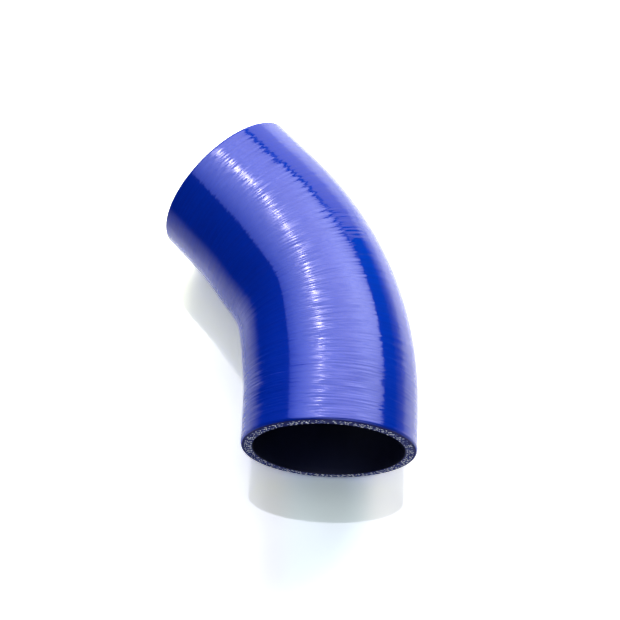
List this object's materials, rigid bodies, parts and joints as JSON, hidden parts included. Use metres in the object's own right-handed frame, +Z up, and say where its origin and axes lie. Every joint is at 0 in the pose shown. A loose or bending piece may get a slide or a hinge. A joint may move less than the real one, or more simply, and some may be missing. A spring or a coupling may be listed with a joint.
{
  "type": "silicone elbow hose",
  "caption": "Moulded silicone hose bent at 45 degrees, with a plain round bore and square-cut ends, for joining pipes that meet at an angle.",
  "frame": {"origin": "under the middle of the hose's box, on the surface that it lies on", "axes": "+Y from one cut end to the other, +X to the side where the bend bulges, +Z up; the bend lies in a level plane"},
  "size_m": [0.0878, 0.1628, 0.073],
  "materials": {
    "silicone": "glossy royal blue skin with fine wrap marks round the hose, dark liner and fabric plies at the cuts"
  },
  "bodies": {
    "root": {"hose": "silicone"}
  },
  "joints": []
}
